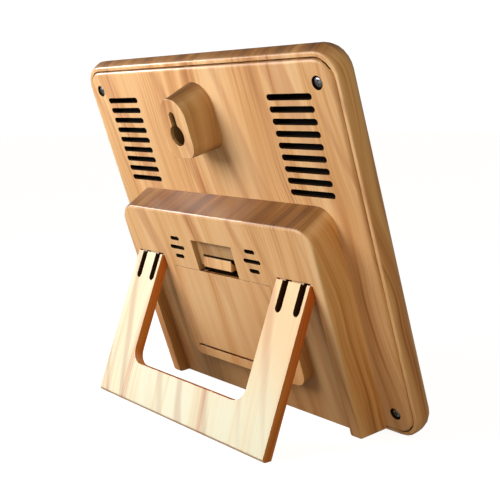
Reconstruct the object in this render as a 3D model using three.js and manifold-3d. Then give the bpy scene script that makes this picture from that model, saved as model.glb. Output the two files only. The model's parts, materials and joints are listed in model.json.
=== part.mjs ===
// A square desk and wall display seen by its back: a wood-grain plastic slab that leans on a
// U-shaped kickstand, with a raised battery block, a keyhole boss and two banks of vent slots.
// Millimetres, +Z up.  The screen faces -Y and the kickstand stands towards +Y.
//
// Everything is drawn in the panel's own frame: X across, Y out of the rear cover (Y = 0 is the
// cover's flat face), Z up along the panel from its centre.  The whole panel then leans back.
import * as THREE from 'three';
import { mergeVertices } from 'three/addons/utils/BufferGeometryUtils.js';
import Module from 'manifold-3d';

const wasm = await Module();
wasm.setup();

// ---------------------------------------------------------------- driving dimensions
const lean = THREE.MathUtils.degToRad(19.2);        // panel off the vertical when it stands
const standOpen = THREE.MathUtils.degToRad(39.6);   // kickstand out of its recess when it stands

const shell = {
  halfX: 103.2, low: -97.5, high: 99.4, corner: 13.5,   // outside of the front shell
  front: -15.2, rear: -1.2,                         // bezel face and rear rim
  frontRound: 8.5, sideTaper: 1.3, taperDepth: 5.3, // sides draw in towards the rim
  topTaper: 1.5, lowTaper: -0.4,                    // and the top and bottom by this much more
  wall: 2.6, innerRound: 5, ledge: 1.5,
};
const cover = { halfX: 99.8, halfZ: 94.6, corner: 10.5, round: 2, wall: 2.2 };
const fitGap = 0.32;                                // shadow gap between cover and shell

const block = {                                     // raised block for batteries and kickstand
  halfX: 81, top: 25.3, bottom: -96, corner: 11, lowCorner: 1.6,   // outline on the cover's face
  faceHalfX: 80.5, faceTop: 20.6, faceBottom: -91.7,
  face: 17, round: 1.4, wall: 2,
};
const recess = {                                    // U-shaped hollow for the kickstand
  floor: 10.7, top: -7, legX: 73.4, islandX: 48.6,
  islandBottom: -70.8, islandCorner: 8, skin: 1.8,
};

const hinge = { y: 13.5, z: -7.4, pinRadius: 1.1, pinReach: 2.6 };   // kickstand pivot
const stand = {                                     // stowed, measured from the pivot
  halfX: 73, innerX: 49.1, outer: 3.5, inner: -2.3,
  shoulder: -2.5, ear: 1.5, knuckle: 1.9,
  length: 83.9, crossbar: 21.7, innerCorner: 8, footBevel: 1.2,
};
const standSlot = { width: 4.4, depth: 15.8, offsets: [6.9, 19.7] };   // two slots per arm

const vent = { x: 69.7, top: 78, pitch: 5.83, count: 9, length: 30, height: 3.1 };
const smallSlot = { x: 32.2, z: -0.8, pitch: 5.4, long: 13.2, short: 8, height: 2.3 };

const boss = {                                      // keyhole boss: base outline, then face outline
  halfX: 12.8, halfZ: 17.5, z: 69.3, lowCorner: 7.5,
  faceHalfX: 11, faceHalfZ: 15.5, faceZ: 68.1, wall: 2,
};
const keyhole = { z: 64.5, radius: 5.4, slot: 4.4, top: 76.8 };

const doorway = { halfX: 41.1, top: -13.1, bottom: -64.8, ledge: 14.9 };
const door = { halfX: 40.8, top: -13.4, thickness: 1.7, knuckle: 1.25 };
const doorHinge = { y: 15.75, z: -63.1, pinRadius: 0.7, pinReach: 1.6 };
const latchWell = {
  halfX: 17.2, top: 5, floor: 14.4, slotHalfX: 13.3, slotTop: -3.9, slotDeep: 10, gutter: -10.2,
};
const latch = {                                     // a wedge to push, on a tail under the door
  halfX: 11.6, top: -4.6, bottom: -10.2, tail: -15.2,
  base: 10.4, web: 11.7, low: 15.1, face: 16.7,
};

const bay = { halfX: 30.6, top: -15.7, bottom: -61.3, floor: -0.5, wall: 1.5 };
const cell = { radius: 7.1, pitch: 15, z: -38.5, y: 6.9, halfBody: 24.6, nub: 1, nubRadius: 2.7 };
const spring = { radius: 3.4, tipRadius: 2.6, wire: 0.5, turns: 3.5 };
const contact = { inner: 29.9, outer: 30.3, half: 4.6, dimple: 2.2, tail: -2.5, slot: 1.5 };
const wire = { radius: 0.5, y: -3.4 };

const coverScrew = {
  x: 90, z: 83.9, head: 2.5, headTop: -0.4, seat: -2.6, counterbore: 3.25,
  shank: 1.3, hole: 1.6, tip: -11.4,
};
const coverPost = { radius: 3.6, end: -4.9, cup: 4.6 };
const boardScrew = { x: 44, zs: [34, 82], head: 1.9, shank: 0.85, hole: 1.1, post: 2.6 };

const glass = { halfX: 88, halfZ: 72, z: 4, corner: 5, thickness: 1.1, ledge: 4 };
const stack = {                                     // layers behind the window, front to back
  gasket: [-12.3, -11.6], lcd: [-11.3, -9.6], guide: [-9.3, -7.6], bracket: [-7.3, -6.3],
  board: [-5.9, -4.3], chip: [-4, -2.7],
};
const lcd = { halfX: 85.5, halfZ: 68.5 };
const board = { halfX: 50, low: 29, high: 87 };

const gap = 0.3;                                    // clearance between neighbouring pieces
const arc = 3;                                      // half the segments in a quarter turn

// ---------------------------------------------------------------- solids and shapes
function toSolid(geometry) {
  const bare = geometry.clone();
  bare.deleteAttribute('normal');
  bare.deleteAttribute('uv');
  const merged = mergeVertices(bare, 1e-4);
  const source = merged.index.array;
  const corners = [];
  for (let i = 0; i < source.length; i += 3) {
    const [a, b, c] = [source[i], source[i + 1], source[i + 2]];
    if (a !== b && b !== c && a !== c) corners.push(a, b, c);
  }
  return new wasm.Manifold(new wasm.Mesh({
    numProp: 3,
    vertProperties: new Float32Array(merged.attributes.position.array),
    triVerts: new Uint32Array(corners),
  }));
}

function toGeometry(solid) {
  const mesh = solid.getMesh();
  const geometry = new THREE.BufferGeometry();
  geometry.setAttribute('position', new THREE.BufferAttribute(mesh.vertProperties, 3));
  geometry.setIndex(new THREE.BufferAttribute(mesh.triVerts, 1));
  geometry.computeVertexNormals();
  return geometry;
}

function join(first, ...others) {
  return others.reduce((sum, other) => sum.add(other), first);
}

function cut(first, ...others) {
  return others.reduce((rest, other) => rest.subtract(other), first);
}

function box(x0, x1, y0, y1, z0, z1) {
  const geometry = new THREE.BoxGeometry(x1 - x0, y1 - y0, z1 - z0);
  geometry.translate((x0 + x1) / 2, (y0 + y1) / 2, (z0 + z1) / 2);
  return toSolid(geometry);
}

// A shape drawn in X and Z, given thickness along Y.
function plateGeometry(shape, y0, y1, segments = arc) {
  const geometry = new THREE.ExtrudeGeometry(shape, {
    depth: y1 - y0, bevelEnabled: false, curveSegments: segments,
  });
  geometry.rotateX(Math.PI / 2);
  geometry.translate(0, y1, 0);
  return geometry;
}

function plate(shape, y0, y1, segments = arc) {
  return toSolid(plateGeometry(shape, y0, y1, segments));
}

// A shape drawn in Y and Z, given length along X.
function bar(shape, x0, x1, segments = arc) {
  const geometry = new THREE.ExtrudeGeometry(shape, {
    depth: x1 - x0, bevelEnabled: false, curveSegments: segments,
  });
  const turn = new THREE.Matrix4().makeBasis(
    new THREE.Vector3(0, 1, 0), new THREE.Vector3(0, 0, 1), new THREE.Vector3(1, 0, 0));
  geometry.applyMatrix4(turn);
  geometry.translate(x0, 0, 0);
  return toSolid(geometry);
}

function roundedRect(halfX, z0, z1, radius, lowRadius = radius) {
  const shape = new THREE.Shape();
  const right = Math.PI / 2;
  shape.moveTo(-halfX + lowRadius, z0);
  shape.lineTo(halfX - lowRadius, z0);
  shape.absarc(halfX - lowRadius, z0 + lowRadius, lowRadius, -right, 0);
  shape.lineTo(halfX, z1 - radius);
  shape.absarc(halfX - radius, z1 - radius, radius, 0, right);
  shape.lineTo(-halfX + radius, z1);
  shape.absarc(-halfX + radius, z1 - radius, radius, right, 2 * right);
  shape.lineTo(-halfX, z0 + lowRadius);
  shape.absarc(-halfX + lowRadius, z0 + lowRadius, lowRadius, 2 * right, 3 * right);
  return shape;
}

function roundEndedSlot(x0, x1, z, height) {
  const radius = height / 2;
  const shape = new THREE.Shape();
  shape.moveTo(x0 + radius, z - radius);
  shape.lineTo(x1 - radius, z - radius);
  shape.absarc(x1 - radius, z, radius, -Math.PI / 2, Math.PI / 2);
  shape.lineTo(x0 + radius, z + radius);
  shape.absarc(x0 + radius, z, radius, Math.PI / 2, Math.PI * 1.5);
  return shape;
}

// A slab whose edges curve in by `inset` over a depth of `depth` on both faces.
function roundedSlabGeometry(halfX, z0, z1, corner, inset, depth, y0, y1) {
  const geometry = new THREE.ExtrudeGeometry(roundedRect(halfX, z0, z1, corner), {
    depth: y1 - y0 - 2 * depth, curveSegments: arc, bevelEnabled: true,
    bevelThickness: depth, bevelSize: inset, bevelOffset: -inset, bevelSegments: inset > 2 ? 5 : 3,
  });
  geometry.rotateX(Math.PI / 2);
  geometry.translate(0, y1 - depth, 0);
  return geometry;
}

function roundedSlab(...sizes) {
  return toSolid(roundedSlabGeometry(...sizes));
}

// Moves every point of a prism linearly with its height above y0, so that its walls slope.
function slope(geometry, y0, y1, place) {
  const points = geometry.attributes.position;
  for (let i = 0; i < points.count; i += 1) {
    const t = (points.getY(i) - y0) / (y1 - y0);
    const [x, z] = place(points.getX(i), points.getZ(i), t);
    points.setX(i, x);
    points.setZ(i, z);
  }
  return geometry;
}

function cylinderY(radius, y0, y1, x, z, segments = 16) {
  const geometry = new THREE.CylinderGeometry(radius, radius, y1 - y0, segments);
  geometry.translate(x, (y0 + y1) / 2, z);
  return toSolid(geometry);
}

function cylinderX(radius, x0, x1, y, z, segments = 16) {
  const geometry = new THREE.CylinderGeometry(radius, radius, x1 - x0, segments);
  geometry.rotateZ(Math.PI / 2);
  geometry.translate((x0 + x1) / 2, y, z);
  return toSolid(geometry);
}

const mirrored = [-1, 1];

// ---------------------------------------------------------------- materials
const finishes = {
  wood: { color: 0xd9a066, roughness: 0.5, metalness: 0 },
  paleWood: { color: 0xf0dfb8, roughness: 0.5, metalness: 0 },
  steel: { color: 0xb9bcc0, roughness: 0.3, metalness: 1 },
  tin: { color: 0xc9ccd0, roughness: 0.35, metalness: 1 },
  window: { color: 0x101214, roughness: 0.08, metalness: 0 },
  black: { color: 0x17181a, roughness: 0.6, metalness: 0 },
  lcdGlass: { color: 0x15181c, roughness: 0.2, metalness: 0 },
  acrylic: { color: 0xe8ecec, roughness: 0.2, metalness: 0 },
  board: { color: 0x1d5b34, roughness: 0.5, metalness: 0 },
  amber: { color: 0xb8752a, roughness: 0.45, metalness: 0 },
  cellWrap: { color: 0x2b2d31, roughness: 0.35, metalness: 0 },
  red: { color: 0xb3231c, roughness: 0.5, metalness: 0 },
};

const panel = new THREE.Group();
panel.name = 'panel';

function addPiece(name, solid, finish, parent = panel) {
  const mesh = new THREE.Mesh(toGeometry(solid), new THREE.MeshStandardMaterial(finishes[finish]));
  mesh.name = name;
  parent.add(mesh);
  return mesh;
}

// ---------------------------------------------------------------- front shell
function frontShell() {
  const far = 40;
  const outline = [shell.halfX, shell.low, shell.high, shell.corner];
  const back = roundedSlabGeometry(...outline, shell.sideTaper, shell.taperDepth, -far, shell.rear);
  const bulgeBack = toSolid(slope(back, shell.rear - shell.taperDepth, shell.rear, (x, z, t) => [
    x, z - Math.max(0, t) * (z > 0 ? shell.topTaper : -shell.lowTaper),
  ]));
  const bulgeFront = roundedSlab(...outline, shell.frontRound, shell.frontRound, shell.front, far);
  const pocketX = cover.halfX + fitGap;
  const pocketZ = cover.halfZ + fitGap;
  const corner = cover.corner + fitGap;
  const pocket = plate(roundedRect(pocketX, -pocketZ, pocketZ, corner), -cover.wall - gap, 1);
  const innerX = pocketX - shell.ledge;
  const innerZ = pocketZ - shell.ledge;
  const bezelInner = shell.front + shell.wall;
  const cavity = roundedSlab(innerX, -innerZ, innerZ, corner - shell.ledge,
    shell.innerRound, shell.innerRound, bezelInner, far);
  const seatDepth = glass.thickness + gap;
  let body = cut(bulgeFront.intersect(bulgeBack), pocket, cavity,
    windowPlate(gap, shell.front - 1, shell.front + seatDepth),
    windowPlate(-glass.ledge, shell.front - 1, bezelInner + 1));
  for (const sx of mirrored) {
    for (const sz of mirrored) {
      const x = sx * coverScrew.x;
      const z = sz * coverScrew.z;
      const rib = box(Math.min(x, sx * (innerX + 0.6)), Math.max(x, sx * (innerX + 0.6)),
        bezelInner - 0.5, coverPost.end - 2, z - 0.8, z + 0.8);
      body = join(body, cylinderY(coverPost.radius, bezelInner - 0.5, coverPost.end, x, z), rib);
      body = cut(body, cylinderY(coverScrew.hole, coverScrew.tip - gap, 0, x, z));
    }
  }
  return body;
}

function windowPlate(grow, y0, y1) {
  const shape = roundedRect(glass.halfX + grow, glass.z - glass.halfZ - grow,
    glass.z + glass.halfZ + grow, Math.max(1, glass.corner + grow));
  return plate(shape, y0, y1);
}

// ---------------------------------------------------------------- rear cover
// The block's top and foot lean inwards on the way out to its face.
function blockPrism(inset, y0, y1, round = 0) {
  const outline = roundedRect(block.halfX - inset, block.bottom + inset, block.top - inset,
    block.corner - inset, Math.max(1.1, block.lowCorner - inset));
  const geometry = new THREE.ExtrudeGeometry(outline, {
    depth: y1 - y0 - 2 * round, curveSegments: arc, bevelEnabled: round > 0,
    bevelThickness: round, bevelSize: round, bevelOffset: -round, bevelSegments: 3,
  });
  geometry.rotateX(Math.PI / 2);
  geometry.translate(0, y1 - round, 0);
  const span = block.top - block.bottom;
  const narrow = block.faceHalfX / block.halfX - 1;
  return toSolid(slope(geometry, 0, block.face, (x, z, t) => {
    const up = (z - block.bottom) / span;
    const onFace = block.faceBottom + up * (block.faceTop - block.faceBottom);
    return [x * (1 + t * narrow), z + t * (onFace - z)];
  }));
}

function outerBlock() {
  return cut(blockPrism(0, -6, block.face, block.round), box(-200, 200, -20, -0.5, -200, 200));
}

function bossPrism(inset, y0, y1) {
  const halfX = boss.halfX - inset;
  const halfZ = boss.halfZ - inset;
  const outline = roundedRect(halfX, -halfZ, halfZ, halfX - 0.01, boss.lowCorner - inset);
  const narrowX = boss.faceHalfX / boss.halfX - 1;
  const narrowZ = boss.faceHalfZ / boss.halfZ - 1;
  return toSolid(slope(plateGeometry(outline, y0, y1, 6), 0, block.face, (x, z, t) => [
    x * (1 + t * narrowX),
    z * (1 + t * narrowZ) + boss.z + t * (boss.faceZ - boss.z),
  ]));
}

// The kickstand's recess: legs open at the block's foot, an island between them.
function recessShape(grow) {
  const outer = recess.legX + grow;
  const island = recess.islandX - grow;
  const low = recess.islandBottom + grow;
  const top = recess.top + grow;
  const corner = recess.islandCorner - grow;
  const foot = block.bottom - 10;
  const shape = new THREE.Shape();
  shape.moveTo(-outer, foot);
  shape.lineTo(outer, foot);
  shape.lineTo(outer, top);
  shape.lineTo(island, top);
  shape.lineTo(island, low + corner);
  shape.absarc(island - corner, low + corner, corner, 0, -Math.PI / 2, true);
  shape.lineTo(corner - island, low);
  shape.absarc(corner - island, low + corner, corner, -Math.PI / 2, -Math.PI, true);
  shape.lineTo(-island, top);
  shape.lineTo(-outer, top);
  return shape;
}

// Undercuts above the recess for the kickstand's two ears.
function earPockets(grow) {
  const end = hinge.z + stand.knuckle + 0.6 + grow;
  const roof = hinge.y + stand.ear + gap + (grow > 0 ? 1 : 0);
  return mirrored.map((side) => {
    const [x0, x1] = ordered(side * (recess.islandX - grow), side * (recess.legX + grow));
    return box(x0, x1, recess.floor - grow, roof, recess.top - 1, end);
  });
}

function ordered(a, b) {
  return a < b ? [a, b] : [b, a];
}

// Sockets for the kickstand's stub pins, in the legs and in the island.
function pinSockets() {
  const sockets = [];
  for (const side of mirrored) {
    for (const [wall, way] of [[recess.legX, 1], [recess.islandX, -1]]) {
      const deep = wall + way * (stand.innerX - recess.islandX + hinge.pinReach + 0.2);
      sockets.push({
        stem: ordered(side * wall, side * (deep + way)),
        hole: ordered(side * (wall - way), side * deep),
      });
    }
  }
  return sockets;
}

function smallSlots() {
  const slots = [];
  for (const side of mirrored) {
    [smallSlot.short, smallSlot.long, smallSlot.short].forEach((length, row) => {
      const z = smallSlot.z + (1 - row) * smallSlot.pitch;
      const x = side * smallSlot.x;
      const shape = roundEndedSlot(x - length / 2, x + length / 2, z, smallSlot.height);
      slots.push(plate(shape, 12, block.face + 1));
    });
  }
  return slots;
}

function ventSlots() {
  const slots = [];
  for (const side of mirrored) {
    for (let row = 0; row < vent.count; row += 1) {
      const z = vent.top - row * vent.pitch;
      const x = side * vent.x;
      const shape = roundEndedSlot(x - vent.length / 2, x + vent.length / 2, z, vent.height);
      slots.push(plate(shape, -cover.wall - 1, 1));
    }
  }
  return slots;
}

function keyholeCut() {
  const half = keyhole.slot / 2;
  const top = keyhole.top - half;
  const meet = Math.asin(half / keyhole.radius);
  const shape = new THREE.Shape();
  shape.moveTo(half, top);
  shape.absarc(0, top, half, 0, Math.PI);
  shape.absarc(0, keyhole.z, keyhole.radius, Math.PI / 2 + meet, Math.PI * 2.5 - meet);
  return plate(shape, block.face - boss.wall - 1, block.face + 1, 12);
}

function batteryBay() {
  const { halfX, top, bottom, floor, wall } = bay;
  return {
    walls: box(-halfX - wall, halfX + wall, floor - wall, doorway.ledge, bottom - wall, top + wall),
    hollow: box(-halfX, halfX, floor, block.face + 1, bottom, top),
  };
}

function rearCover() {
  const deep = -20;
  const slab = roundedSlab(cover.halfX, -cover.halfZ, cover.halfZ, cover.corner,
    cover.round, cover.round, deep, 0);
  const sheet = cut(slab, box(-200, 200, deep - 1, -cover.wall, -200, 200));
  const outer = outerBlock();
  let body = join(sheet, outer, bossPrism(0, -0.5, block.face));
  body = cut(body,
    blockPrism(block.wall, -cover.wall - 1, block.face - block.wall),
    bossPrism(boss.wall, -cover.wall - 1, block.face - boss.wall));

  const skin = recess.skin;
  const batteries = batteryBay();
  const sockets = pinSockets();
  body = join(body,
    plate(recessShape(skin), recess.floor - skin, block.face - 0.5).intersect(outer),
    ...earPockets(skin),
    batteries.walls,
    box(-doorway.halfX - 1.5, doorway.halfX + 1.5, doorway.ledge - 2, block.face - 0.5,
      doorway.bottom - 1.5, doorway.top + 1.5),
    box(-latchWell.halfX - 1.5, latchWell.halfX + 1.5, latchWell.slotDeep - 1, block.face - 0.5,
      doorway.top, latchWell.top + 1.5),
    ...sockets.map(({ stem }) => box(...stem, hinge.y - 2.4, hinge.y + 2.6, hinge.z - 2.8, hinge.z + 2.8)),
    ...mirrored.map((way) => cylinderY(1.6, 11.2, 15.5, smallSlot.x + way * 6.5, 7)),
    cut(cylinderY(10.2, 8, 15.5, -smallSlot.x, smallSlot.z), cylinderY(8.9, 7, 16, -smallSlot.x, smallSlot.z)
      .intersect(box(-200, 200, 7, 15.2, -200, 200))));

  body = cut(body,
    plate(recessShape(0), recess.floor, block.face + 1),
    ...earPockets(0),
    ...sockets.map(({ hole }) => cylinderX(hinge.pinRadius + 0.15, ...hole, hinge.y, hinge.z)),
    batteries.hollow,
    box(-doorway.halfX, doorway.halfX, doorway.ledge, block.face + 1, doorway.bottom, doorway.top),
    box(-doorway.halfX, doorway.halfX, 14.1, block.face, doorway.bottom, doorHinge.z + 1.6),
    ...mirrored.map((side) => cylinderX(doorHinge.pinRadius + 0.2,
      ...ordered(side * (doorway.halfX - 1), side * (door.halfX + doorHinge.pinReach + 0.3)),
      doorHinge.y, doorHinge.z, 16)),
    box(-latchWell.halfX, latchWell.halfX, latchWell.floor, block.face + 1, doorway.top - 1, latchWell.top),
    box(-latchWell.halfX, latchWell.halfX, latchWell.slotDeep, block.face, doorway.top - 0.3, latchWell.gutter),
    box(-latchWell.slotHalfX, latchWell.slotHalfX, latchWell.slotDeep, block.face, bay.top - 1,
      latchWell.slotTop),
    ...mirrored.map((side) => tailSlot(side, cell.z + cellRow(side))),
    ...smallSlots(), ...ventSlots(), keyholeCut());

  for (const sx of mirrored) {
    for (const sz of mirrored) {
      const x = sx * coverScrew.x;
      const z = sz * coverScrew.z;
      body = join(body, cylinderY(coverPost.cup, coverPost.end + gap, -1, x, z));
      body = cut(body, cylinderY(coverScrew.counterbore, coverScrew.seat, 1, x, z),
        cylinderY(coverScrew.hole, -8, 0, x, z));
    }
    for (const z of boardScrew.zs) {
      const x = sx * boardScrew.x;
      body = join(body, cylinderY(boardScrew.post, stack.board[1] + gap, -1, x, z, 16));
      body = cut(body, cylinderY(boardScrew.hole, -8, -0.9, x, z, 16));
    }
  }
  return body;
}

// Height of a cell's row above the middle one: 1 is the upper row, -1 the lower.
function cellRow(row) {
  return row * cell.pitch;
}

function tailSlot(side, z) {
  const [x0, x1] = ordered(side * (contact.inner - gap), side * bay.halfX);
  return box(x0, x1, bay.floor - bay.wall - 1, bay.floor + 1, z - contact.slot, z + contact.slot);
}

// ---------------------------------------------------------------- kickstand
function kickstand(floorHeight) {
  const { halfX, innerX, outer, inner, shoulder, ear, knuckle } = stand;
  const { length, crossbar, innerCorner, footBevel } = stand;
  const foot = shoulder - length;
  const barTop = foot + crossbar;
  const crown = knuckle + 1;
  const plan = new THREE.Shape();
  plan.moveTo(-halfX, foot);
  plan.lineTo(halfX, foot);
  plan.lineTo(halfX, crown);
  plan.lineTo(innerX, crown);
  plan.lineTo(innerX, barTop + innerCorner);
  plan.absarc(innerX - innerCorner, barTop + innerCorner, innerCorner, 0, -Math.PI / 2, true);
  plan.lineTo(innerCorner - innerX, barTop);
  plan.absarc(innerCorner - innerX, barTop + innerCorner, innerCorner, -Math.PI / 2, -Math.PI, true);
  plan.lineTo(-innerX, crown);
  plan.lineTo(-halfX, crown);

  const middle = ear - knuckle;
  const profile = new THREE.Shape();
  profile.moveTo(inner, foot);
  profile.lineTo(outer - footBevel, foot);
  profile.lineTo(outer, foot + footBevel);
  profile.lineTo(outer, shoulder);
  profile.lineTo(ear, shoulder);
  profile.lineTo(ear, 0);
  profile.absarc(middle, 0, knuckle, 0, Math.PI);
  profile.lineTo(inner, 0);
  let body = plate(plan, -20, 20).intersect(bar(profile, -halfX - 1, halfX + 1));

  for (const left of [halfX, -innerX]) {
    for (const offset of standSlot.offsets) {
      const x = left - offset;
      const slot = new THREE.Shape();
      const half = standSlot.width / 2;
      const low = shoulder - standSlot.depth + half;
      slot.moveTo(x + half, crown + 5);
      slot.lineTo(x - half, crown + 5);
      slot.lineTo(x - half, low);
      slot.absarc(x, low, half, Math.PI, Math.PI * 2);
      body = cut(body, plate(slot, -20, 20));
    }
  }
  for (const side of mirrored) {
    for (const [edge, way] of [[halfX, 1], [innerX, -1]]) {
      const [x0, x1] = ordered(side * (edge - way), side * (edge + way * hinge.pinReach));
      body = join(body, cylinderX(hinge.pinRadius, x0, x1, 0, 0, 16));
    }
  }

  // swing it out, put it on its pivot, and trim the foot level with the table
  const opened = toGeometry(body);
  opened.rotateX(standOpen);
  opened.translate(0, hinge.y, hinge.z);
  opened.rotateX(-lean);
  const below = box(-200, 200, -300, 300, floorHeight - 50, floorHeight);
  const trimmed = toGeometry(toSolid(opened).subtract(below));
  trimmed.rotateX(lean);
  return toSolid(trimmed);
}

// ---------------------------------------------------------------- battery door and latch
function batteryDoor() {
  const { halfX, top, thickness, knuckle } = door;
  const inside = block.face - thickness;
  const profile = new THREE.Shape();
  profile.moveTo(inside, top);
  profile.lineTo(inside, doorHinge.z);
  profile.absarc(doorHinge.y, doorHinge.z, knuckle, Math.PI, Math.PI * 2);
  profile.lineTo(block.face, top);
  let body = bar(profile, -halfX, halfX);
  for (const side of mirrored) {
    const [x0, x1] = ordered(side * (halfX - 1), side * (halfX + doorHinge.pinReach));
    body = join(body, cylinderX(doorHinge.pinRadius, x0, x1, doorHinge.y, doorHinge.z, 12));
  }
  // two inner ribs hold the latch's tail between them
  for (const side of mirrored) {
    const [x0, x1] = ordered(side * (latch.halfX + gap), side * (latch.halfX + gap + 1));
    body = join(body, box(x0, x1, latch.web - 0.5, inside + 0.2, top - 2, top - 0.1));
  }
  return body;
}

function doorLatch() {
  const { halfX, top, bottom, tail, base, web, low, face } = latch;
  const profile = new THREE.Shape();
  profile.moveTo(base, tail);
  profile.lineTo(web, tail);
  profile.lineTo(web, bottom);
  profile.lineTo(face - 0.4, bottom);
  profile.lineTo(face, bottom + 0.5);
  profile.lineTo(low + 0.3, top - 0.4);
  profile.lineTo(low, top);
  profile.lineTo(base, top);
  return bar(profile, -halfX, halfX);
}

// ---------------------------------------------------------------- screen and electronics
function layer([y0, y1], halfX, halfZ, corner = 1) {
  return plate(roundedRect(halfX, glass.z - halfZ, glass.z + halfZ, corner), y0, y1, 3);
}

function displayWindow() {
  return windowPlate(0, shell.front, shell.front + glass.thickness);
}

function windowGasket() {
  const [y0, y1] = stack.gasket;
  return cut(layer([y0, y1], lcd.halfX, lcd.halfZ), layer([y0 - 1, y1 + 1], lcd.halfX - 3, lcd.halfZ - 3));
}

function displayBracket() {
  const [y0, y1] = stack.bracket;
  const plateWithLugs = join(layer([y0, y1], lcd.halfX - 1, lcd.halfZ - 1, 2),
    ...mirrored.map((side) => box(...ordered(side * (lcd.halfX - 2), side * (lcd.halfX + 3)), y0, y1, -3, 7)));
  const clear = boardScrew.head + 0.5;
  return cut(plateWithLugs,
    ...mirrored.map((side) => cylinderY(1.4, y0 - 1, y1 + 1, side * (lcd.halfX + 1), 2, 12)),
    ...mirrored.map((side) => cylinderY(clear, y0 - 1, y1 + 1, side * boardScrew.x, boardScrew.zs[0])));
}

function mainBoard() {
  const [y0, y1] = stack.board;
  let body = box(-board.halfX, board.halfX, y0, y1, board.low, board.high);
  for (const x of [-boardScrew.x, boardScrew.x]) {
    for (const z of boardScrew.zs) body = cut(body, cylinderY(boardScrew.hole, y0 - 1, y1 + 1, x, z, 16));
  }
  // capacitors, a crystal and a connector soldered to its rear face
  const top = y1 + 1.5;
  return join(body, box(-34, -26, y1 - 0.2, top, 60, 66), box(-34, -26, y1 - 0.2, top, 48, 54),
    box(24, 34, y1 - 0.2, top, 70, 74), cylinderY(2.6, y1 - 0.2, top, 30, 55, 16));
}

function boardController() {
  return box(-9, 9, ...stack.chip, 41, 59);
}

function displayFlex() {
  const top = glass.z + lcd.halfZ + gap;
  const front = (stack.lcd[0] + stack.lcd[1]) / 2;
  const rear = stack.board[0] - gap;
  return join(box(-12, 12, front, rear, top, top + 0.4), box(-12, 12, rear - 0.4, rear, top, top + 6));
}

function sensorBoard() {
  const body = box(smallSlot.x - 9, smallSlot.x + 9, 9.3, 10.9, -9, 9.5);
  return join(body, box(smallSlot.x - 3, smallSlot.x + 3, 10.8, 13.6, -4, 2));
}

function buzzer() {
  const body = cylinderY(8.5, 4.5, 12.5, -smallSlot.x, smallSlot.z, 32);
  return cut(body, cylinderY(1.5, 10.5, 13.5, -smallSlot.x, smallSlot.z, 12));
}

// ---------------------------------------------------------------- batteries and contacts
// `nubSide` is the side, -1 or 1 along X, that the positive end faces.
function batteryCell(row, nubSide) {
  const z = cell.z + cellRow(row);
  const body = cylinderX(cell.radius, -cell.halfBody, cell.halfBody, cell.y, z, 28);
  const tip = ordered(nubSide * (cell.halfBody - 0.5), nubSide * (cell.halfBody + cell.nub));
  return join(body, cylinderX(cell.nubRadius, ...tip, cell.y, z, 16));
}

class Coil extends THREE.Curve {
  constructor(side, z) {
    super();
    this.side = side;
    this.z = z;
  }

  getPoint(t) {
    const angle = t * spring.turns * Math.PI * 2;
    const radius = spring.radius + t * (spring.tipRadius - spring.radius);
    const from = contact.inner + 0.2;
    const to = cell.halfBody + gap + spring.wire;
    return new THREE.Vector3(this.side * (from + t * (to - from)),
      cell.y + radius * Math.cos(angle), this.z + radius * Math.sin(angle));
  }
}

function coilSpring(side, z) {
  const section = new THREE.Shape();
  section.absarc(0, 0, spring.wire, 0, Math.PI * 2);
  return toSolid(new THREE.ExtrudeGeometry(section, {
    steps: Math.round(spring.turns * 10), curveSegments: 3, bevelEnabled: false,
    extrudePath: new Coil(side, z),
  }));
}

// A sheet contact across one or two rows, with a dimple for a nub or a spring for a flat end.
function sheetContact(side, positiveRow, negativeRow, hasTail) {
  const rows = [positiveRow, negativeRow].filter((row) => row !== null);
  const zs = rows.map((row) => cell.z + cellRow(row));
  const sheet = ordered(side * contact.inner, side * contact.outer);
  let body = box(...sheet, cell.y - contact.half, cell.y + contact.half,
    Math.min(...zs) - contact.half, Math.max(...zs) + contact.half);
  if (positiveRow !== null) {
    const reach = cell.halfBody + cell.nub + gap;
    const span = ordered(side * reach, side * (contact.inner + 0.2));
    body = join(body, cylinderX(contact.dimple, ...span, cell.y, cell.z + cellRow(positiveRow), 16));
  }
  if (negativeRow !== null) body = join(body, coilSpring(side, cell.z + cellRow(negativeRow)));
  if (hasTail) body = join(body, box(...sheet, contact.tail, cell.y, zs[0] - 1, zs[0] + 1));
  return body;
}

function batteryWire(points) {
  const path = new THREE.CatmullRomCurve3(points.map(([x, z]) => new THREE.Vector3(x, wire.y, z)));
  const section = new THREE.Shape();
  section.absarc(0, 0, wire.radius, 0, Math.PI * 2);
  return toSolid(new THREE.ExtrudeGeometry(section, {
    steps: 12, curveSegments: 3, bevelEnabled: false, extrudePath: path,
  }));
}

// ---------------------------------------------------------------- screws
// Both kinds are turned about their own axis, which runs along Y.
function turnedScrew(outline, headTop, driveRadius, x, z) {
  const points = outline.map(([radius, y]) => new THREE.Vector2(radius, y));
  const turned = new THREE.LatheGeometry(points, 16);
  turned.translate(x, 0, z);
  const drive = [
    box(x - driveRadius, x + driveRadius, headTop - 0.9, headTop + 1, z - 0.3, z + 0.3),
    box(x - 0.3, x + 0.3, headTop - 0.9, headTop + 1, z - driveRadius, z + driveRadius),
  ];
  return { body: toSolid(turned), drive };
}

function coverScrewAt(x, z) {
  const { head, headTop, seat, shank, tip } = coverScrew;
  const under = seat + gap;
  const { body, drive } = turnedScrew([
    [0, tip], [shank * 0.5, tip], [shank, tip + 1.2], [shank, under], [head, under],
    [head, headTop - 0.8], [head * 0.86, headTop - 0.3], [head * 0.5, headTop], [0, headTop],
  ], headTop, 1.5, x, z);
  return cut(body, ...drive);
}

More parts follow.
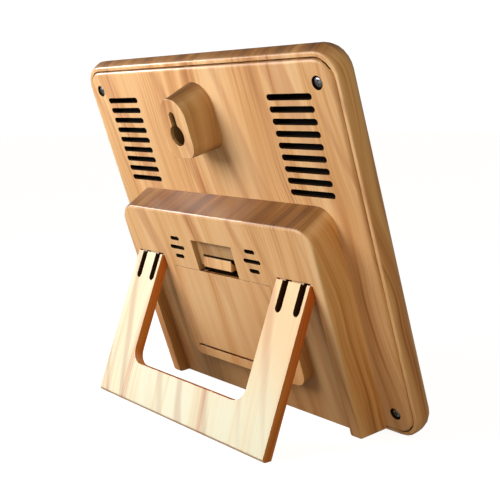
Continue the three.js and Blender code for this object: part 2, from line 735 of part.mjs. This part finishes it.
function boardScrewAt(x, z) {
  const { head, shank } = boardScrew;
  const under = stack.board[0] - gap;
  const outline = [
    [0, under - 1], [head * 0.8, under - 1], [head, under - 0.6], [head, under],
    [shank, under], [shank, -1.4], [0, -1.2],
  ];
  const { body } = turnedScrew(outline, under - 1, 1, x, z);
  return cut(body, box(x - 1, x + 1, under - 2, under - 0.6, z - 0.25, z + 0.25),
    box(x - 0.25, x + 0.25, under - 2, under - 0.6, z - 1, z + 1));
}

// ---------------------------------------------------------------- assembly
const shellMesh = addPiece('front_shell', frontShell(), 'wood');
const coverMesh = addPiece('rear_cover', rearCover(), 'wood');

// how low the leaning case reaches, which is where the table is
function lowestPoint(mesh) {
  const leaning = mesh.geometry.clone().rotateX(-lean);
  leaning.computeBoundingBox();
  return leaning.boundingBox.min.z;
}
const tableHeight = Math.min(lowestPoint(shellMesh), lowestPoint(coverMesh));

addPiece('kickstand', kickstand(tableHeight), 'paleWood');
addPiece('battery_door', batteryDoor(), 'wood');
addPiece('door_latch', doorLatch(), 'wood');

addPiece('display_window', displayWindow(), 'window');
addPiece('window_gasket', windowGasket(), 'black');
addPiece('lcd_panel', layer(stack.lcd, lcd.halfX, lcd.halfZ), 'lcdGlass');
addPiece('light_guide', layer(stack.guide, lcd.halfX - 1, lcd.halfZ - 1), 'acrylic');
addPiece('display_bracket', displayBracket(), 'tin');
addPiece('main_board', mainBoard(), 'board');
addPiece('board_controller', boardController(), 'black');
addPiece('display_flex', displayFlex(), 'amber');
addPiece('sensor_board', sensorBoard(), 'board');
addPiece('buzzer', buzzer(), 'black');

addPiece('cell_upper', batteryCell(1, 1), 'cellWrap');
addPiece('cell_middle', batteryCell(0, -1), 'cellWrap');
addPiece('cell_lower', batteryCell(-1, 1), 'cellWrap');
addPiece('contact_positive', sheetContact(1, 1, null, true), 'tin');
addPiece('contact_bridge_right', sheetContact(1, -1, 0, false), 'tin');
addPiece('contact_bridge_left', sheetContact(-1, 0, 1, false), 'tin');
addPiece('contact_negative', sheetContact(-1, null, -1, true), 'tin');
addPiece('battery_wire_positive', batteryWire([[30.1, -22.5], [31, -8], [42, 12], [40, 32]]), 'red');
addPiece('battery_wire_negative', batteryWire([[-30.1, -52.5], [-34, -30], [-38, 0], [-40, 32]]), 'black');

for (const [index, sx, sz] of [[1, 1, 1], [2, -1, 1], [3, 1, -1], [4, -1, -1]]) {
  addPiece(`cover_screw_${index}`, coverScrewAt(sx * coverScrew.x, sz * coverScrew.z), 'steel');
  const z = boardScrew.zs[sz > 0 ? 1 : 0];
  addPiece(`board_screw_${index}`, boardScrewAt(sx * boardScrew.x, z), 'steel');
}

// lean the panel back, stand it on the ground plane and centre it
const product = new THREE.Group();
product.name = 'desk_display';
product.add(panel);
panel.rotation.x = -lean;
product.updateMatrixWorld(true);
const bounds = new THREE.Box3().setFromObject(product, true);
const middle = bounds.getCenter(new THREE.Vector3());
panel.position.set(-middle.x, -middle.y, -bounds.min.z);

export default product;
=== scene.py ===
"""A square wood-grain desk display, seen from behind, standing on its kickstand."""
import math

import bmesh
import bpy
from mathutils import Matrix, Vector
from mathutils.bvhtree import BVHTree
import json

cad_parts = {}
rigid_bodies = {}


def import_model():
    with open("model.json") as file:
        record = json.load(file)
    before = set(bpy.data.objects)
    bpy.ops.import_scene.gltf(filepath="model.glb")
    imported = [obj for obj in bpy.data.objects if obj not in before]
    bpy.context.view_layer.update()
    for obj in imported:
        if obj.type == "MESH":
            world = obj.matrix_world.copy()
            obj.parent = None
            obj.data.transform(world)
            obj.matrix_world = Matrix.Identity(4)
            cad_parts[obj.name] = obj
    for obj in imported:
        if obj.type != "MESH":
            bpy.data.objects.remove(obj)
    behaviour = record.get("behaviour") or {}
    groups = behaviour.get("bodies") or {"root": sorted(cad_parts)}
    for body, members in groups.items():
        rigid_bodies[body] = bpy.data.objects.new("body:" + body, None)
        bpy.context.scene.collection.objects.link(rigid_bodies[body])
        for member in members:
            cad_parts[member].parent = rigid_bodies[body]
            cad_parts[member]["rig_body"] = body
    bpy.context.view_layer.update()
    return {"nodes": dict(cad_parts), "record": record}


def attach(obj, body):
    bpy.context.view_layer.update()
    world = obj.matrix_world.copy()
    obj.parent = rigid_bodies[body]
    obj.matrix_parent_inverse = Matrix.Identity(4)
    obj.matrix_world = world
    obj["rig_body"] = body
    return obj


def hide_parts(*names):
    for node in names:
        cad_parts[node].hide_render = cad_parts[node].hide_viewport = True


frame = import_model()

MM = 0.001
mounts = {m["name"]: m for m in frame["record"]["mounts"]}

# The panel's own frame: X across, Y out of its back, Z up along it; its origin is the middle of
# the rear cover's flat face. Lengths in it are given in millimetres.
BACKWARD = Vector(mounts["boss_face"]["axis"])
UPWARD = Vector((1, 0, 0)).cross(BACKWARD)
PANEL = Matrix(((1, 0, 0), BACKWARD, UPWARD)).transposed()
SCREEN_CENTRE = Vector((0, -15.2, 4))
ORIGIN = Vector(mounts["screen_face"]["pos_m"]) - PANEL @ (SCREEN_CENTRE * MM)
LEAN = math.atan2(-BACKWARD.z, BACKWARD.y)
STAND_OPEN = math.radians(39.6)

# Where the shapes lie in the panel's frame.
COVER_HALF, COVER_END, GROOVE_FLOOR = 98.2, 93, -3      # the groove round the cover lies past these
BOSS_HALF, BOSS_LOW, BOSS_ROOT = 14, 20, 2              # the boss round the keyhole
BLOCK_HALF, BLOCK_TOP, BLOCK_FACE = 73.9, 5.5, 16.7     # the raised battery block
RECESS_FLOOR = 9                                        # the kickstand's recess is deeper than this
DOOR_FACE, DOOR_TOP, DOOR_SHOULDER = 15.2, -13.6, -15.5
DOOR_SIDE = (40.5, 41)
WELL_FLOOR = 14.3                                       # the floor of the latch's well

WARM = (1, 0.9, 0.74)       # colour of the soft light from around
SKY_RAYS = 96
HIDDEN = 0.2                # a face that sees less of the sky than this is inside the case
OFF_SURFACE = 0.02 * MM     # rays start this far off their face
NARROW = 12 * MM            # walls closer than this face each other across a slot in the case
STAND_NARROW = 6 * MM       # the same in the kickstand

# DARK is unprinted plastic inside the case and painted shade in slots; SHADED is wood with painted
# shade.
PRINTED, DARK, SHADED = 0, 1, 2     # the order of the materials on a finely made piece


def at(x, y, z):
    """A point given in millimetres in the panel's frame."""
    return ORIGIN + PANEL @ Vector((x * MM, y * MM, z * MM))


# ------------------------------------------------------------------ node helpers
class Nodes:
    """A short way to write a node tree: each call makes one node and returns its output."""

    def __init__(self, tree):
        self.tree = tree

    def make(self, kind, **settings):
        node = self.tree.nodes.new(kind)
        for key, value in settings.items():
            setattr(node, key, value)
        return node

    def feed(self, socket, value):
        if isinstance(value, bpy.types.NodeSocket):
            self.tree.links.new(value, socket)
        elif value is not None:
            socket.default_value = value

    def math(self, operation, a, b=None):
        node = self.make("ShaderNodeMath", operation=operation)
        for socket, value in zip(node.inputs, (a, b)):
            self.feed(socket, value)
        return node.outputs[0]

    def vector(self, x, y, z):
        node = self.make("ShaderNodeCombineXYZ")
        for socket, value in zip(node.inputs, (x, y, z)):
            self.feed(socket, value)
        return node.outputs[0]

    def split(self, vector):
        node = self.make("ShaderNodeSeparateXYZ")
        self.feed(node.inputs[0], vector)
        return node.outputs

    def noise(self, vector, scale=1.0, detail=2.0, roughness=0.5):
        node = self.make("ShaderNodeTexNoise")
        self.feed(node.inputs["Vector"], vector)
        node.inputs["Scale"].default_value = scale
        node.inputs["Detail"].default_value = detail
        node.inputs["Roughness"].default_value = roughness
        return node.outputs["Fac"]

    def times(self, a, b):
        return self.math("MULTIPLY", a, b)

    def spread(self, value, low, high, to_low=0.0, to_high=1.0):
        node = self.make("ShaderNodeMapRange", interpolation_type="SMOOTHSTEP")
        for name, given in (("Value", value), ("From Min", low), ("From Max", high),
                            ("To Min", to_low), ("To Max", to_high)):
            self.feed(node.inputs[name], given)
        return node.outputs[0]

    def ramp(self, value, stops):
        node = self.make("ShaderNodeValToRGB")
        self.feed(node.inputs[0], value)
        elements = node.color_ramp.elements
        while len(elements) < len(stops):
            elements.new(0.5)
        for element, (place, colour) in zip(elements, stops):
            element.position = place
            element.color = (*colour, 1)
        return node.outputs[0]

    def mix(self, factor, a, b, blend="MIX"):
        node = self.make("ShaderNodeMix", data_type="RGBA", blend_type=blend)
        self.feed(node.inputs[0], factor)
        self.feed(node.inputs[6], a)
        self.feed(node.inputs[7], b)
        return node.outputs[2]


def srgb(r, g, b):
    """A colour given as 0 to 255 display values, as linear light."""
    def linear(c):
        c /= 255
        return c / 12.92 if c <= 0.04045 else ((c + 0.055) / 1.055) ** 2.4
    return (linear(r), linear(g), linear(b))


def material(name):
    """A new material with its node helper and its shader."""
    made = bpy.data.materials.new(name)
    made.use_nodes = True
    shader = made.node_tree.nodes["Principled BSDF"]
    return made, Nodes(made.node_tree), shader


def panel_position(nodes, tilt):
    """Position in millimetres, turned so that Z runs along the panel (or along the stand)."""
    coordinates = nodes.make("ShaderNodeTexCoord")
    turned = []
    for output in ("Object", "Normal"):
        turn = nodes.make("ShaderNodeVectorRotate", rotation_type="X_AXIS")
        nodes.feed(turn.inputs["Vector"], coordinates.outputs[output])
        turn.inputs["Center"].default_value = tuple(ORIGIN) if output == "Object" else (0, 0, 0)
        turn.inputs["Angle"].default_value = tilt
        turned.append(turn.outputs[0])
    position, normal = turned
    centred = nodes.make("ShaderNodeVectorMath", operation="SUBTRACT")
    nodes.feed(centred.inputs[0], position)
    centred.inputs[1].default_value = tuple(ORIGIN)
    scaled = nodes.make("ShaderNodeVectorMath", operation="SCALE")
    nodes.feed(scaled.inputs[0], centred.outputs[0])
    scaled.inputs["Scale"].default_value = 1 / MM
    return nodes.split(scaled.outputs[0]), nodes.split(normal)


# ------------------------------------------------------------------ printed wood
# Tints that darken the grain where they are mixed in; the edge and low ones are painted shade.
ROSE = (0.80, 0.68, 0.66, 1)
RIGHT_EDGE_SHADE = (0.86, 0.76, 0.64, 1)
LOW_SHADE = (0.82, 0.66, 0.48, 1)
BLUSH = (1, 0.75, 0.56, 1)


def grain(nodes, across, along, seed, stops, diagonal=0.0):
    """Colour of the printed grain: `across` and `along` are millimetres over the surface."""
    def streaks(line, width, length, offset, detail):
        place = nodes.vector(nodes.times(line, 1 / width), nodes.times(along, 1 / length),
                             seed + offset)
        return nodes.noise(place, 1, detail, 0.58)

    slow = nodes.vector(nodes.times(across, 0.014), nodes.times(along, 0.009), seed)
    drift = nodes.times(nodes.math("SUBTRACT", nodes.noise(slow, 1, 1.5), 0.5), 24)
    waved = nodes.math("ADD", across, drift)
    straight = nodes.math("SUBTRACT", waved, nodes.times(along, 0.06))
    crossing = nodes.math("SUBTRACT", waved, nodes.times(along, diagonal))
    broad = streaks(straight, 24, 300, 3, 2)
    bands = streaks(straight, 7, 300, 7, 2)
    lines = streaks(straight, 1.5, 200, 11, 2)
    fibres = streaks(straight, 0.7, 60, 17, 2)
    patches = nodes.noise(nodes.vector(nodes.times(across, 0.03), nodes.times(along, 0.012),
                                       seed + 31), 1, 1)
    fine = nodes.times(nodes.math("SUBTRACT", lines, 0.5),
                       nodes.spread(patches, 0.35, 0.65, 0.1, 0.5))
    tone = nodes.math("ADD", nodes.times(broad, 0.55), nodes.times(bands, 0.45))
    tone = nodes.math("ADD", tone, fine)
    tone = nodes.math("ADD", tone, nodes.times(nodes.math("SUBTRACT", fibres, 0.5), 0.16))
    colour = nodes.ramp(nodes.spread(tone, 0.27, 0.66), stops)
    rose = nodes.spread(streaks(crossing, 12, 300, 23, 1), 0.54, 0.68, 0, 0.8)
    return nodes.mix(rose, colour, ROSE, "MULTIPLY"), fibres


def triplanar(nodes, position, normal, seed, face_stops, top_stops, side_stops):
    """Grain on the panel's face, its tops and its sides, blended where the surface turns."""
    x, y, z = position
    weights = [nodes.math("POWER", nodes.math("ABSOLUTE", n), 3) for n in normal]
    face, fibres = grain(nodes, x, z, seed, face_stops, 0.3)
    top, _ = grain(nodes, x, nodes.times(y, 1.5), seed, top_stops)
    side, _ = grain(nodes, y, z, seed + 20, side_stops)
    total = nodes.math("ADD", nodes.math("ADD", weights[0], weights[1]), weights[2])
    mixed = nodes.mix(nodes.math("DIVIDE", weights[2], total), face, top)
    mixed = nodes.mix(nodes.math("DIVIDE", weights[0], total), mixed, side)
    return mixed, fibres


FACE = [(0.0, srgb(196, 138, 90)), (0.28, srgb(224, 168, 112)), (0.55, srgb(238, 186, 130)),
        (1.0, srgb(247, 204, 152))]
# The grain on upward faces is darker: painted shade, standing for the little light that falls on
# them from above.
SHADED_TOP = [(0.0, srgb(70, 34, 6)), (0.3, srgb(102, 58, 16)), (0.6, srgb(128, 80, 30)),
       (1.0, srgb(164, 116, 58))]
SIDE = [(0.0, srgb(140, 86, 36)), (0.3, srgb(188, 128, 64)), (0.6, srgb(218, 158, 92)),
        (1.0, srgb(242, 192, 124))]
STAND_FACE = [(0.0, srgb(234, 200, 170)), (0.3, srgb(246, 228, 196)), (0.6, srgb(250, 242, 210)),
              (1.0, srgb(252, 249, 224))]
STAND_SIDE = [(0.0, srgb(160, 84, 20)), (0.4, srgb(200, 112, 36)), (1.0, srgb(218, 140, 60))]


def shade(stops, amount):
    """The same stops with every colour darkened by one factor."""
    return [(place, tuple(c * amount for c in colour)) for place, colour in stops]


def add_bump(nodes, shader, height, strength, distance):
    bump = nodes.make("ShaderNodeBump")
    bump.inputs["Strength"].default_value = strength
    bump.inputs["Distance"].default_value = distance
    nodes.feed(bump.inputs["Height"], height)
    nodes.feed(shader.inputs["Normal"], bump.outputs[0])


def finish_wood(nodes, shader, colour, fibres, coat):
    """The print's colour under a thin clear coat."""
    nodes.feed(shader.inputs["Base Color"], colour)
    nodes.feed(shader.inputs["Roughness"], nodes.spread(fibres, 0.2, 0.8, 0.35, 0.47))
    add_bump(nodes, shader, fibres, 0.05, 0.1 * MM)
    shader.inputs["Specular IOR Level"].default_value = 0.25
    shader.inputs["Coat Weight"].default_value = coat
    shader.inputs["Coat Roughness"].default_value = 0.09


def case_painted_shade(nodes, colour, position):
    """Painted shade on the case: darker in the strip at its right-hand edge, darker and warmer low
    down.
    """
    x, _, z = position
    right_shade = nodes.times(nodes.spread(x, -76, -92, 0, 0.6), nodes.spread(x, -102, -98))
    colour = nodes.mix(right_shade, colour, RIGHT_EDGE_SHADE, "MULTIPLY")
    low = nodes.times(nodes.spread(z, -24, -88), nodes.spread(x, -82, -72, 0, 0.8))
    return nodes.mix(low, colour, LOW_SHADE, "MULTIPLY")


def stand_tone(nodes, colour, position):
    """The stand's print is pinker towards its hinge, and more so on its right arm."""
    x, _, z = position
    amount = nodes.times(nodes.spread(z, -92, -32), nodes.spread(x, 60, -50, 0.15, 1))
    return nodes.mix(amount, colour, BLUSH, "MULTIPLY")


def wood(name, seed, face_stops, top_stops, side_stops, tone=case_painted_shade, tilt=LEAN, coat=0.16):
    made, nodes, shader = material(name)
    position, normal = panel_position(nodes, tilt)
    colour, fibres = triplanar(nodes, position, normal, seed, face_stops, top_stops, side_stops)
    finish_wood(nodes, shader, tone(nodes, colour, position), fibres, coat)
    return made


def speckled(name, colour, roughness, metallic=0.0, spread=0.12, coat=0.0, gloss=0.5):
    """A moulded or plated surface: one colour with a fine mottle and a little bump."""
    made, nodes, shader = material(name)
    coordinates = nodes.make("ShaderNodeTexCoord").outputs["Object"]
    mottle = nodes.noise(coordinates, 900, 3, 0.6)
    dark = tuple(c * (1 - spread) for c in colour)
    light = tuple(min(1, c * (1 + spread)) for c in colour)
    nodes.feed(shader.inputs["Base Color"], nodes.ramp(mottle, [(0.3, dark), (0.7, light)]))
    nodes.feed(shader.inputs["Roughness"],
               nodes.spread(mottle, 0.3, 0.7, roughness * 0.85, roughness * 1.15))
    shader.inputs["Metallic"].default_value = metallic
    shader.inputs["Coat Weight"].default_value = coat
    shader.inputs["Specular IOR Level"].default_value = gloss
    add_bump(nodes, shader, mottle, 0.08, 0.05 * MM)
    return made


WOOD = wood("printed_wood", 2.0, FACE, SHADED_TOP, SIDE)
# A darker copy of the printed wood: painted shade for the case's hollows and the boss's sides.
SHADED_WOOD = wood("painted_shade_wood_in_hollows", 2.0, shade(FACE, 0.66), shade(SHADED_TOP, 0.8),
                   shade(SIDE, 0.72))
STAND_WOOD = wood("printed_pale_wood", 9.0, STAND_FACE, STAND_SIDE, STAND_SIDE, stand_tone,
                  LEAN - STAND_OPEN, 0.06)
# Dark plastic for the hidden inside of the case, also used as painted shade on slot walls and gaps.
INNER_PLASTIC_AND_SHADE = speckled("inner_plastic_and_painted_shade", srgb(40, 26, 14), 0.8, gloss=0.05)
# Painted shade for the walls of the kickstand's slots.
STAND_SLOT_SHADE = speckled("slot_wall_painted_shade", srgb(74, 46, 20), 0.7, gloss=0.1)
STEEL = speckled("nickel", srgb(165, 167, 172), 0.34, metallic=1.0)
TIN = speckled("plated_sheet", srgb(190, 192, 194), 0.35, metallic=1.0)
BLACK = speckled("black_plastic", srgb(16, 15, 14), 0.75, gloss=0.15)
BOARD = speckled("solder_mask", srgb(24, 88, 50), 0.45, coat=0.3)
AMBER = speckled("amber_film", srgb(190, 120, 40), 0.4)
WRAP = speckled("cell_wrap", srgb(44, 46, 52), 0.35, coat=0.4)
RED = speckled("red_insulation", srgb(176, 34, 26), 0.5)
SCREEN = speckled("dark_display", srgb(20, 23, 27), 0.22, spread=0.06)


# ------------------------------------------------------------------ camera, floor and light
def make_camera():
    """The photo's viewpoint, found from the outline of the object in it."""
    right = PANEL @ Vector((-0.636, -0.729, -0.255))
    up = PANEL @ Vector((0.116, -0.416, 0.902))
    right.normalize()
    up = (up - right * up.dot(right)).normalized()
    data = bpy.data.cameras.new("camera")
    data.lens = 64.5
    data.sensor_width = 36
    data.clip_start = 0.01
    data.clip_end = 20
    camera = bpy.data.objects.new("camera", data)
    bpy.context.scene.collection.objects.link(camera)
    camera.matrix_world = Matrix((right, up, right.cross(up))).transposed().to_4x4()
    camera.location = at(-370.4, 257.1, 159.9)
    bpy.context.scene.camera = camera


def area_light(name, place, target, size, power, colour=(1, 1, 1)):
    """A square lamp that faces its target."""
    data = bpy.data.lights.new(name, "AREA")
    data.shape = "SQUARE"
    data.size = size
    data.energy = power
    data.color = colour
    lamp = bpy.data.objects.new(name, data)
    bpy.context.scene.collection.objects.link(lamp)
    lamp.location = place
    lamp.rotation_mode = "QUATERNION"
    lamp.rotation_quaternion = (target - place).to_track_quat("-Z", "Y")
    return lamp


def make_floor():
    """A white floor that takes a faint shadow and throws no light back up."""
    reach = 6
    corners = [(-reach, -reach, 0), (reach, -reach, 0), (reach, reach, 0), (-reach, reach, 0)]
    mesh = bpy.data.meshes.new("floor")
    mesh.from_pydata(corners, [], [(0, 1, 2, 3)])
    floor = bpy.data.objects.new("floor", mesh)
    bpy.context.scene.collection.objects.link(floor)
    made, nodes, shader = material("pale_floor")
    shader.inputs["Base Color"].default_value = (0.35, 0.35, 0.35, 1)
    shader.inputs["Roughness"].default_value = 0.9
    shader.inputs["Specular IOR Level"].default_value = 0.1
    shader.inputs["Emission Color"].default_value = (1, 1, 1, 1)
    shader.inputs["Emission Strength"].default_value = 0.92
    mesh.materials.append(made)
    floor.visible_diffuse = False
    floor.visible_glossy = False


def make_world():
    """White behind the object as the camera sees it; a dim warm light for everything else."""
    world = bpy.data.worlds.new("world")
    world.use_nodes = True
    nodes = Nodes(world.node_tree)
    background = world.node_tree.nodes["Background"]
    path = nodes.make("ShaderNodeLightPath")
    nodes.feed(background.inputs["Color"],
               nodes.mix(path.outputs["Is Camera Ray"], (*WARM, 1), (1, 1, 1, 1)))
    nodes.feed(background.inputs["Strength"],
               nodes.spread(path.outputs["Is Camera Ray"], 0, 1, 0.22, 1.05))
    bpy.context.scene.world = world


bpy.context.scene.view_settings.view_transform = "Standard"
make_camera()
make_floor()
make_world()
area_light("key", at(170, 290, 330), at(0, 0, 20), 0.3, 2.3)
area_light("fill", at(-560, 220, 0), ORIGIN, 0.4, 1.1, WARM)
# The third lamp only draws highlights along the edges.
edge_light = area_light("edges", at(478, 107, 340), ORIGIN, 0.13, 2.4)
edge_light.visible_diffuse = False
edge_light.data.cycles.max_bounces = 0


# ------------------------------------------------------------------ pieces
def sky(start, normal, surroundings):
    """How much of the half-space in front of a face is open: 0 deep inside, 1 in the open."""
    side = normal.orthogonal().normalized()
    other = normal.cross(side)
    free = 0
    for index in range(SKY_RAYS):
        height = (index + 0.5) / SKY_RAYS
        turn = index * math.pi * (3 - math.sqrt(5))
        reach = math.sqrt(1 - height * height)
        ray = normal * height + side * reach * math.cos(turn) + other * reach * math.sin(turn)
        free += surroundings.ray_cast(start, ray)[0] is None
    return free / SKY_RAYS


def in_panel(place):
    """A point's millimetres in the panel's frame."""
    return (PANEL.transposed() @ (place - ORIGIN)) / MM


def solid_tree(*names):
    """A tree for casting rays at the CAD solids of these nodes."""
    solids = bmesh.new()
    for name in names:
        solids.from_mesh(frame["nodes"][name].data)
    tree = BVHTree.FromBMesh(solids)
    solids.free()
    return tree


def case_finish(surroundings):
    """Sorts the case's faces: dark inside it, dark as painted shade in its slots, and painted shade
    on the wood in its hollows.
    """
    def finish(place, normal):
        x, y, z = in_panel(place)
        facing = normal.dot(BACKWARD)
        if (abs(x) > COVER_HALF or abs(z) > COVER_END) and y > GROOVE_FLOOR:
            return PRINTED
        # The boss's sides take the darker wood as painted shade.
        if abs(x) < BOSS_HALF and z > BOSS_LOW and y > BOSS_ROOT and abs(facing) < 0.95:
            return SHADED
        start = place + normal * OFF_SURFACE
        if sky(start, normal, surroundings) < HIDDEN:
            return DARK
        # Walls that face each other across a narrow slot are dark as painted shade.
        if abs(facing) < 0.5:
            distance = surroundings.ray_cast(start, normal)[3]
            if distance is not None and distance < NARROW:
                return DARK
        # The recess's floors and walls take the darker wood as painted shade.
        in_block = abs(x) < BLOCK_HALF and z < BLOCK_TOP and y < BLOCK_FACE
        return SHADED if in_block and (facing > 0.5 or y > RECESS_FLOOR) else PRINTED
    return finish


def stand_finish(surroundings):
    """The walls of the kickstand's slots are dark, as painted shade; the rest is printed wood."""
    def finish(place, normal):
        distance = surroundings.ray_cast(place + normal * OFF_SURFACE, normal)[3]
        return DARK if distance is not None and distance < STAND_NARROW else PRINTED
    return finish


def door_finish(place, normal):
    """The door's inner side is dark plastic; the sunk part of its upper edge is dark as painted
    shade.
    """
    _, y, z = in_panel(place)
    inner = normal.dot(BACKWARD) < -0.5
    return DARK if inner or (z > DOOR_SHOULDER and y < DOOR_FACE) else PRINTED


def latch_finish(place, _):
    """The latch's tail is dark below the well's floor, as painted shade."""
    return DARK if in_panel(place)[1] < WELL_FLOOR else PRINTED


def widest_place(triangles):
    """The middle of a face's largest triangle, which lies on the face whatever its shape."""
    def area(loops):
        a, b, c = (loop.vert.co for loop in loops)
        return (b - a).cross(c - a).length
    a, b, c = (loop.vert.co for loop in max(triangles, key=area))
    return (a + b + c) / 3


def settle_normals(mesh):
    """Shades flat faces flat and rounds smoothly: the widest plane at a corner sets its normal."""
    def plane(face):
        away = face.normal.dot(face.center) / MM
        return (*(round(c, 3) for c in face.normal), round(away, 1))

    planes = [plane(face) for face in mesh.polygons]
    areas = {}
    around = {}
    for face, key in zip(mesh.polygons, planes):
        areas[key] = areas.get(key, 0) + face.area / MM ** 2
        for vertex in face.vertices:
            around.setdefault(vertex, []).append(face.index)
    least = math.cos(math.radians(48))
    normals = []
    for face in mesh.polygons:
        face.use_smooth = True
        for vertex in face.vertices:
            near = [i for i in around[vertex] if mesh.polygons[i].normal.dot(face.normal) > least]
            total = sum((mesh.polygons[i].normal * areas[planes[i]] ** 2 for i in near), Vector())
            normals.append(total.normalized() if total.length else face.normal)
    mesh.normals_split_custom_set(normals)


def close_gap(work):
    """Brings the door's top and sides to within a hair of the cover, so that they show no line."""
    growth = 0.22 * MM
    for vert in work.verts:
        x, y, z = in_panel(vert.co)
        if y <= DOOR_FACE:
            continue
        if DOOR_SIDE[0] < abs(x) < DOOR_SIDE[1]:
            vert.co.x += math.copysign(growth, x)
        if z > DOOR_TOP:
            vert.co += UPWARD * growth


def fine_copy(node, bevel, finish):
    """A copy of a CAD node with small rounds on its sharp outer edges, which stands for it."""
    sharp = math.radians(32)
    source = frame["nodes"][node]
    mesh = source.data.copy()
    mesh.name = "visual_" + node
    mesh.materials.clear()
    work = bmesh.new()
    work.from_mesh(mesh)
    if node == "battery_door":
        close_gap(work)
    bmesh.ops.remove_doubles(work, verts=work.verts, dist=0.5e-6)
    bmesh.ops.dissolve_limit(work, angle_limit=math.radians(0.8),
                             verts=work.verts, edges=work.edges)
    outlines = [face for face in work.faces if len(face.verts) > 4]
    bmesh.ops.triangulate(work, faces=outlines, quad_method="BEAUTY", ngon_method="BEAUTY")
    triangles = {}
    for loops in work.calc_loop_triangles():
        triangles.setdefault(loops[0].face, []).append(loops)
    for face, pieces in triangles.items():
        face.smooth = True
        face.material_index = finish(widest_place(pieces), face.normal)
    weights = work.edges.layers.float.new("bevel_weight_edge")
    for edge in work.edges:
        if len(edge.link_faces) == 2 and edge.calc_face_angle() > sharp:
            seen = not any(face.material_index == DARK for face in edge.link_faces)
            if seen and edge.is_convex:
                edge[weights] = 1
            else:
                edge.smooth = False
    work.to_mesh(mesh)
    work.free()
    if mesh.has_custom_normals:
        mesh.attributes.remove(mesh.attributes["custom_normal"])
    piece = bpy.data.objects.new("visual_" + node, mesh)
    bpy.context.scene.collection.objects.link(piece)
    round_edges = piece.modifiers.new("rounds", "BEVEL")
    round_edges.width = bevel * MM
    round_edges.segments = 2
    round_edges.limit_method = "WEIGHT"
    round_edges.use_clamp_overlap = False
    evaluated = piece.evaluated_get(bpy.context.evaluated_depsgraph_get())
    whole = bpy.data.meshes.new_from_object(evaluated)
    piece.modifiers.clear()
    piece.data = whole
    settle_normals(whole)
    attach(piece, source["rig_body"])
    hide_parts(node)
    return piece


in_case = case_finish(solid_tree("rear_cover", "front_shell", "display_window"))
in_stand = stand_finish(solid_tree("kickstand"))
for node, bevel, finish, materials in (
        ("rear_cover", 0.3, in_case, (WOOD, INNER_PLASTIC_AND_SHADE, SHADED_WOOD)),
        ("front_shell", 0.3, in_case, (WOOD, INNER_PLASTIC_AND_SHADE, SHADED_WOOD)),
        ("kickstand", 0.3, in_stand, (STAND_WOOD, STAND_SLOT_SHADE)),
        ("battery_door", 0.15, door_finish, (WOOD, INNER_PLASTIC_AND_SHADE)),
        ("door_latch", 0.25, latch_finish, (WOOD, INNER_PLASTIC_AND_SHADE))):
    piece = fine_copy(node, bevel, finish)
    for made in materials:
        piece.data.materials.append(made)

plain_finishes = {
    "display_window": SCREEN, "window_gasket": BLACK, "lcd_panel": SCREEN, "light_guide": BLACK,
    # The display bracket is black rather than plated sheet: painted shade seen through the vent
    # slots.
    "display_bracket": BLACK, "main_board": BOARD, "board_controller": BLACK,
    "display_flex": AMBER, "sensor_board": BOARD, "buzzer": BLACK,
    "cell_upper": WRAP, "cell_middle": WRAP, "cell_lower": WRAP,
    "contact_positive": TIN, "contact_bridge_right": TIN, "contact_bridge_left": TIN,
    "contact_negative": TIN, "battery_wire_positive": RED, "battery_wire_negative": BLACK,
}
for index in range(1, 5):
    plain_finishes[f"cover_screw_{index}"] = STEEL
    plain_finishes[f"board_screw_{index}"] = STEEL
for name, finish in plain_finishes.items():
    part = frame["nodes"][name]
    part.data.materials.clear()
    part.data.materials.append(finish)
